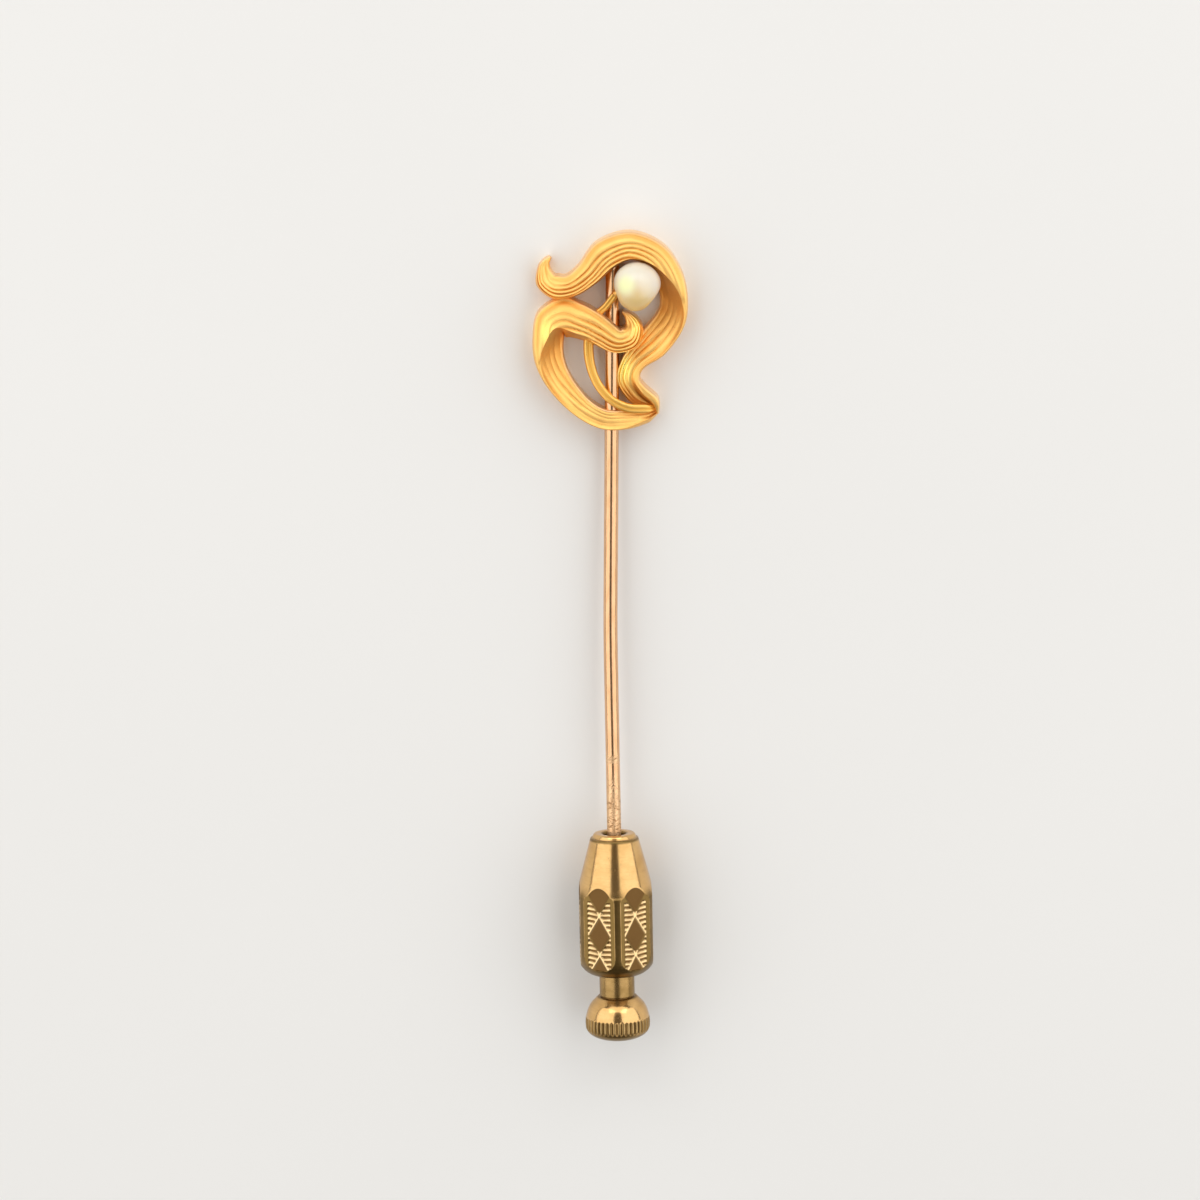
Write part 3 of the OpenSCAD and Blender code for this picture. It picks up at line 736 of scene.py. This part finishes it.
def plunger(finish):
    """The neck and the knob, turned. Ribs, the size of a sine round the knob, fill a band at its widest."""
    foot = BARREL_L + NECK_SHOW
    step = 0.4 * BARREL_L
    bore = STEM_D / 2 + GAP
    neck = NECK_D / 2
    waist = neck - 0.1 * MM
    knob = smooth(KNOB_CURVE, 5) * [KNOB_D / 2, KNOB_H] + [0, foot]
    hollow = [[0.01 * MM, POINT_L + STEM_D], [bore, POINT_L + STEM_D], [bore, step + GAP]]
    shaft = [[neck, step + GAP], [neck, foot - 0.12 * MM], [waist, foot - 0.06 * MM], [waist, foot]]
    profile = np.vstack([hollow, densely(shaft, 0.5 * MM), knob])
    radius, turn, height = turned(profile, 588)
    share = (height - foot) / KNOB_H
    band = ((share - 0.45) / 0.03).clip(0, 1) * ((0.77 - share) / 0.05).clip(0, 1)
    rib = np.abs(np.sin(turn * KNOB_RIBS / 2))
    radius = radius - 0.09 * MM * band * (1 - rib) ** 1.2
    # Painted shade and dark reflections, with some tarnish, under the knob, on the neck and in the ribbed
    # band
    under = ((share - 0.72) / 0.08).clip(0, 1) * (1 - 0.6 * ((share - 0.93) / 0.05).clip(0, 1))
    on_neck = ((0.04 - share) / 0.04).clip(0, 1)
    shade_and_tarnish = np.maximum(0.65 * on_neck, 0.9 * under) + 0.75 * band
    # painted shade between the knob's ribs
    ground = band * (1 - rib) ** 1.5 * 0.9
    # painted highlight on the tips of the knob's ribs
    marks = {"ground": ground, "painted_highlight": band * rib**8 * 0.2, "shade_and_tarnish": shade_and_tarnish.clip(0, 1)}
    grid = in_clutch(radius, turn, height)
    return skin("knob_and_neck", grid, finish, "plunger", "clutch_plunger", marks)


def floor():
    """A plain pale surface"""
    half = 1.5
    mesh = bpy.data.meshes.new("floor")
    corners = [(-half, -half, 0), (half, -half, 0), (half, half, 0), (-half, half, 0)]
    mesh.from_pydata(corners, [], [(0, 1, 2, 3)])
    paint = Finish("pale_floor", Roughness=0.6)
    paint.feed("Base Color", paint.mix(paint.noise(0.02), (0.76, 0.755, 0.74), (0.79, 0.785, 0.77)))
    mesh.materials.append(paint.material)
    plane = bpy.data.objects.new("floor", mesh)
    bpy.context.scene.collection.objects.link(plane)


def aim(thing, at, target, up):
    """Puts a light or camera at a place, looking at the target, with its top towards up."""
    back = unit(np.asarray(at) - target)
    right = unit(np.cross(up, back))
    top = np.cross(back, right)
    thing.matrix_world = Matrix(np.vstack([np.column_stack([right, top, back, at]), [0, 0, 0, 1]]))


def soft_light(name, at, wide, long, watts):
    """A large soft panel that looks at the pin"""
    lamp = bpy.data.lights.new(name, "AREA")
    lamp.shape = "RECTANGLE"
    lamp.size = wide
    lamp.size_y = long
    lamp.energy = watts
    panel = bpy.data.objects.new(name, lamp)
    bpy.context.scene.collection.objects.link(panel)
    aim(panel, at, np.zeros(3), [0, 1, 0])
    panel.visible_camera = False


def studio():
    """Soft panels to the left and right of the camera and beyond the head, and a dim even sky"""
    lean = np.radians(50)
    for name, side in (("left_panel", -1), ("right_panel", 1)):
        way = np.array([side * np.sin(lean), 0.1, np.cos(lean)])
        soft_light(name, 0.4 * way, wide=0.54, long=0.9, watts=2.1)
    far_lean = np.radians(60)
    far_way = np.array([0, np.sin(far_lean), np.cos(far_lean)])
    soft_light("far_panel", 0.6 * far_way, wide=0.7, long=0.4, watts=1.3)
    world = bpy.data.worlds.new("studio")
    world.use_nodes = True
    world.node_tree.nodes["Background"].inputs["Color"].default_value = (0.15, 0.135, 0.115, 1)
    bpy.context.scene.world = world
    bpy.context.scene.view_settings.view_transform = "Standard"


def camera():
    """The photograph's view: from in front of the upright pin and a little above its middle."""
    look_down = np.radians(8)
    distance = 239 * MM
    target = head_at + np.array([-0.74, -18.94, 0]) * MM @ lay
    back = np.array([0, np.sin(look_down + pitch), np.cos(look_down + pitch)])
    lean = np.radians(-0.34)
    lens = bpy.data.cameras.new("camera")
    lens.sensor_width = 36
    lens.lens = 18 / np.tan(np.radians(10))
    lens.clip_start = 0.01
    eye = bpy.data.objects.new("camera", lens)
    bpy.context.scene.collection.objects.link(eye)
    aim(eye, target + distance * back, target, [np.sin(lean), np.cos(lean), 0])
    bpy.context.scene.camera = eye


camera()
studio()
floor()
gold = satin_gold()
wire = wire_gold()
turned_metal = turned_gold()
upper_edges = scroll_edges(UPPER_SCROLL, 1)
lower_edges = scroll_edges(LOWER_SCROLL, -1)
plan_x = np.concatenate([edge[:, 0] for edges in (upper_edges, lower_edges) for edge in edges[:2]])
head_stretch = HEAD_W / (plan_x.max() - plan_x.min())
scroll("upper_scroll", upper_edges, head_stretch, gold)
scroll("lower_scroll", lower_edges, head_stretch, gold)
tendril(head_stretch, gold)
peg(gold)
stem(wire)
pearl(pearl_lustre())
barrel(turned_metal)
plunger(turned_metal)
